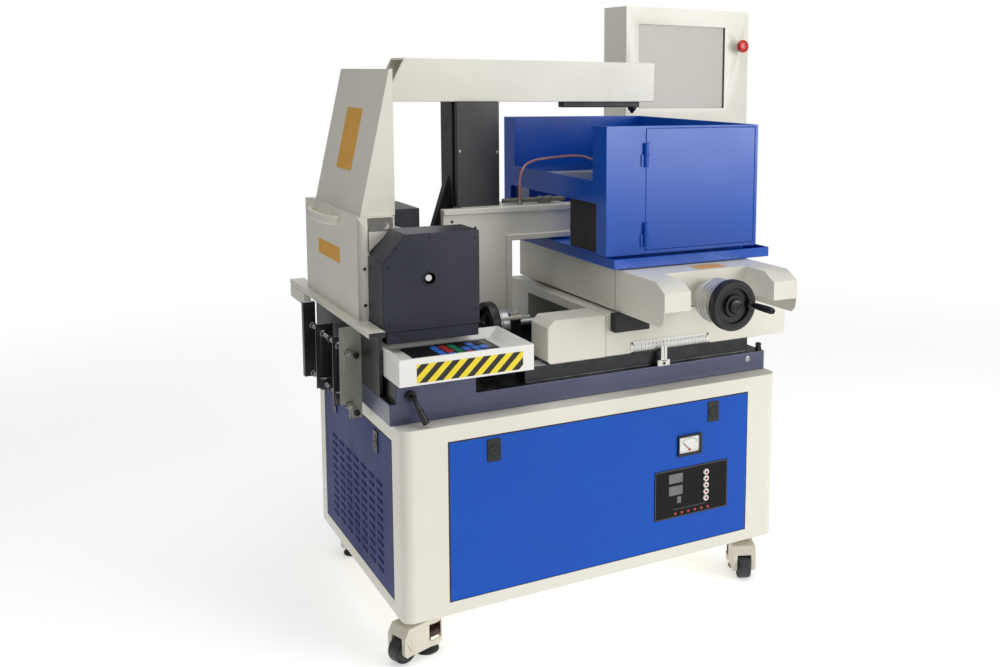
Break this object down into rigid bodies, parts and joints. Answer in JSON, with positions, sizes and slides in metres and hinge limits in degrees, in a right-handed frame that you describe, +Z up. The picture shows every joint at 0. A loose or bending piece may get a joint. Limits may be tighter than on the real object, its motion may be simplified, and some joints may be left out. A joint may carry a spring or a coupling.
{
  "type": "wire edm machine",
  "caption": "Workshop wire-cutting machine: castored cabinet with a cross table and open tank, a reciprocating wire drum, two wire arms on a column and a swivelling control box.",
  "frame": {"origin": "middle of the bottom of the machine's box, on the floor under the levelling feet", "axes": "+X to the operator's right, along the upper arm; +Y from the operator to the back; +Z up"},
  "size_m": [1.448, 1.156, 1.443],
  "materials": {
    "cream_paint": "warm off-white enamel, satin",
    "grey_paint": "machined casting with grey enamel",
    "blue_paint": "deep blue enamel, satin",
    "navy_paint": "dark navy textured powder coat",
    "dark_paint": "black enamel on cast iron",
    "black_plastic": "black moulded plastic",
    "white_plastic": "white moulded plastic",
    "castor_plastic": "cream moulded nylon",
    "castor_tread": "black nylon tread",
    "foot_red": "dark pad with a brown-red thumbwheel",
    "ground_steel": "ground steel",
    "grey_plastic": "grey conduit",
    "black_rubber": "black rubber sheet",
    "hose_plastic": "clear pinkish tube",
    "stop_red": "red moulded plastic"
  },
  "bodies": {
    "machine": {"cabinet_frame": "cream_paint", "rear_panels": "blue_paint", "bed": "dark_paint", "drum_base": "dark_paint", "side_bracket": "ground_steel", "column_base": "cream_paint", "column": "dark_paint", "wire_conduit": "grey_plastic", "coolant_hose": "hose_plastic", "console_tray": "cream_paint", "keypad": "black_plastic", "box_arm": "cream_paint"},
    "front_panel": {"front_panel": "blue_paint", "display_bezel": "black_plastic", "meter_case": "white_plastic"},
    "left_panel": {"left_panel": "blue_paint"},
    "front_latch_left": {"front_latch_left": "black_plastic"},
    "front_latch_right": {"front_latch_right": "black_plastic"},
    "left_latch_front": {"left_latch_front": "black_plastic"},
    "left_latch_rear": {"left_latch_rear": "black_plastic"},
    "meter_needle": {"meter_needle": "black_plastic"},
    "castor_feet": {"castor_feet": "foot_red"},
    "drum_carriage": {"drum_carriage": "dark_paint", "gear_cover": "navy_paint", "drum_motor": "navy_paint"},
    "drum": {"drum": "ground_steel"},
    "guard": {"guard_lower": "cream_paint", "guard_upper": "cream_paint"},
    "arm": {"upper_arm": "cream_paint", "arm_slide": "dark_paint", "nozzle_bar": "black_plastic"},
    "upper_guide_wheel": {"upper_guide_wheel": "ground_steel"},
    "lower_guide_wheel": {"lower_guide_wheel": "ground_steel"},
    "x_table": {"x_slide": "cream_paint", "x_end_cover": "cream_paint"},
    "x_handwheel": {"x_handwheel": "black_plastic"},
    "y_table": {"y_slide": "grey_paint", "y_cover": "cream_paint", "tank": "blue_paint", "port_curtain": "black_rubber", "drip_tray": "blue_paint", "work_table": "ground_steel"},
    "y_handwheel": {"y_handwheel": "black_plastic", "y_screw": "ground_steel"},
    "tank_door": {"tank_door": "blue_paint"},
    "control_box": {"control_box": "cream_paint"},
    "estop": {"estop_button": "stop_red"},
    "button_1": {"display_button_1": "white_plastic"},
    "button_2": {"display_button_2": "white_plastic"},
    "button_3": {"display_button_3": "white_plastic"},
    "button_4": {"display_button_4": "white_plastic"},
    "button_5": {"display_button_5": "white_plastic"},
    "castor_1": {"castor_housing_1": "castor_plastic"},
    "wheel_1": {"castor_wheel_1": "castor_tread"},
    "castor_2": {"castor_housing_2": "castor_plastic"},
    "wheel_2": {"castor_wheel_2": "castor_tread"},
    "castor_3": {"castor_housing_3": "castor_plastic"},
    "wheel_3": {"castor_wheel_3": "castor_tread"},
    "castor_4": {"castor_housing_4": "castor_plastic"},
    "wheel_4": {"castor_wheel_4": "castor_tread"}
  },
  "joints": [
    {"name": "front_panel_tilt", "type": "hinge", "parent": "machine", "child": "front_panel", "pos_m": [-0.186, -0.337, 0.125], "axis": [1, 0, 0], "range_deg": [0, 80]},
    {"name": "left_panel_tilt", "type": "hinge", "parent": "machine", "child": "left_panel", "pos_m": [-0.666, 0.005, 0.125], "axis": [0, -1, 0], "range_deg": [0, 80]},
    {"name": "front_latch_left_turn", "type": "hinge", "parent": "front_panel", "child": "front_latch_left", "pos_m": [-0.4665, -0.337, 0.441], "axis": [0, 1, 0], "range_deg": [0, 90]},
    {"name": "front_latch_right_turn", "type": "hinge", "parent": "front_panel", "child": "front_latch_right", "pos_m": [0.0945, -0.337, 0.441], "axis": [0, 1, 0], "range_deg": [0, 90]},
    {"name": "left_latch_front_turn", "type": "hinge", "parent": "left_panel", "child": "left_latch_front", "pos_m": [-0.666, -0.157, 0.441], "axis": [-1, 0, 0], "range_deg": [0, 90]},
    {"name": "left_latch_rear_turn", "type": "hinge", "parent": "left_panel", "child": "left_latch_rear", "pos_m": [-0.666, 0.177, 0.441], "axis": [-1, 0, 0], "range_deg": [0, 90]},
    {"name": "button_1_press", "type": "slide", "parent": "front_panel", "child": "button_1", "axis": [0, 1, 0], "range_m": [0, 0.002], "stiffness_N_per_m": 400, "springref_m": -0.003},
    {"name": "button_2_press", "type": "slide", "parent": "front_panel", "child": "button_2", "axis": [0, 1, 0], "range_m": [0, 0.002], "stiffness_N_per_m": 400, "springref_m": -0.003},
    {"name": "button_3_press", "type": "slide", "parent": "front_panel", "child": "button_3", "axis": [0, 1, 0], "range_m": [0, 0.002], "stiffness_N_per_m": 400, "springref_m": -0.003},
    {"name": "button_4_press", "type": "slide", "parent": "front_panel", "child": "button_4", "axis": [0, 1, 0], "range_m": [0, 0.002], "stiffness_N_per_m": 400, "springref_m": -0.003},
    {"name": "button_5_press", "type": "slide", "parent": "front_panel", "child": "button_5", "axis": [0, 1, 0], "range_m": [0, 0.002], "stiffness_N_per_m": 400, "springref_m": -0.003},
    {"name": "meter_needle_swing", "type": "hinge", "parent": "front_panel", "child": "meter_needle", "pos_m": [0.028, -0.337, 0.358], "axis": [0, 1, 0], "range_deg": [0, 90], "stiffness_Nm_per_rad": 0.0003, "springref_deg": -14.32},
    {"name": "castor_1_swivel", "type": "hinge", "parent": "machine", "child": "castor_1", "pos_m": [-0.6, -0.28, 0], "axis": [0, 0, 1], "continuous": true},
    {"name": "wheel_1_spin", "type": "hinge", "parent": "castor_1", "child": "wheel_1", "pos_m": [-0.66014, -0.30189, 0.03], "axis": [0.342, -0.9397, 0], "continuous": true},
    {"name": "castor_2_swivel", "type": "hinge", "parent": "machine", "child": "castor_2", "pos_m": [0.218, -0.28, 0], "axis": [0, 0, 1], "continuous": true},
    {"name": "wheel_2_spin", "type": "hinge", "parent": "castor_2", "child": "wheel_2", "pos_m": [0.19197, -0.33847, 0.03], "axis": [0.9135, -0.4067, 0], "continuous": true},
    {"name": "castor_3_swivel", "type": "hinge", "parent": "machine", "child": "castor_3", "pos_m": [-0.6, 0.286, 0], "axis": [0, 0, 1], "continuous": true},
    {"name": "wheel_3_spin", "type": "hinge", "parent": "castor_3", "child": "wheel_3", "pos_m": [-0.56608, 0.34027, 0.03], "axis": [-0.848, 0.5299, 0], "continuous": true},
    {"name": "castor_4_swivel", "type": "hinge", "parent": "machine", "child": "castor_4", "pos_m": [0.218, 0.286, 0], "axis": [0, 0, 1], "continuous": true},
    {"name": "wheel_4_spin", "type": "hinge", "parent": "castor_4", "child": "wheel_4", "pos_m": [0.186, 0.34143, 0.03], "axis": [-0.866, -0.5, 0], "continuous": true},
    {"name": "feet_level", "type": "slide", "parent": "machine", "child": "castor_feet", "axis": [0, 0, 1], "range_m": [0, 0.01]},
    {"name": "drum_traverse", "type": "slide", "parent": "machine", "child": "drum_carriage", "axis": [0, -1, 0], "range_m": [0, 0.11]},
    {"name": "drum_spin", "type": "hinge", "parent": "drum_carriage", "child": "drum", "pos_m": [-0.554, -0.037, 0.797], "axis": [0, 1, 0], "continuous": true},
    {"name": "guard_pull", "type": "slide", "parent": "machine", "child": "guard", "axis": [-1, 0, 0], "range_m": [0, 0.15]},
    {"name": "arm_lift", "type": "slide", "parent": "machine", "child": "arm", "axis": [0, 0, 1], "range_m": [0, 0.08]},
    {"name": "upper_wheel_spin", "type": "hinge", "parent": "arm", "child": "upper_guide_wheel", "pos_m": [0.099, 0.124, 1.1973], "axis": [0, 1, 0], "continuous": true},
    {"name": "lower_wheel_spin", "type": "hinge", "parent": "machine", "child": "lower_guide_wheel", "pos_m": [0.099, 0.124, 0.883], "axis": [0, 1, 0], "continuous": true},
    {"name": "x_travel", "type": "slide", "parent": "machine", "child": "x_table", "axis": [1, 0, 0], "range_m": [-0.05, 0.15]},
    {"name": "x_handwheel_turn", "type": "hinge", "parent": "machine", "child": "x_handwheel", "pos_m": [-0.366, -0.042, 0.64], "axis": [1, 0, 0], "range_deg": [-4501, 13501]},
    {"name": "y_travel", "type": "slide", "parent": "x_table", "child": "y_table", "axis": [0, 1, 0], "range_m": [-0.1, 0.1]},
    {"name": "y_handwheel_turn", "type": "hinge", "parent": "y_table", "child": "y_handwheel", "pos_m": [0.043, -0.337, 0.7318], "axis": [0, 1, 0], "range_deg": [-9001, 9001]},
    {"name": "tank_door_swing", "type": "hinge", "parent": "y_table", "child": "tank_door", "pos_m": [-0.06, -0.2725, 0.9], "axis": [0, 0, -1], "range_deg": [0, 110]},
    {"name": "control_box_swivel", "type": "hinge", "parent": "machine", "child": "control_box", "pos_m": [0.502, 0.508, 1.06], "axis": [0, 0, 1], "range_deg": [-60, 0]},
    {"name": "estop_press", "type": "slide", "parent": "control_box", "child": "estop", "axis": [0, 1, 0], "range_m": [0, 0.005], "stiffness_N_per_m": 2500, "springref_m": -0.004}
  ],
  "couplings": [
    {"joint": "x_handwheel_turn", "follows": "x_travel", "rad_per_m": 1570.8},
    {"joint": "y_handwheel_turn", "follows": "y_travel", "rad_per_m": 1570.8}
  ]
}
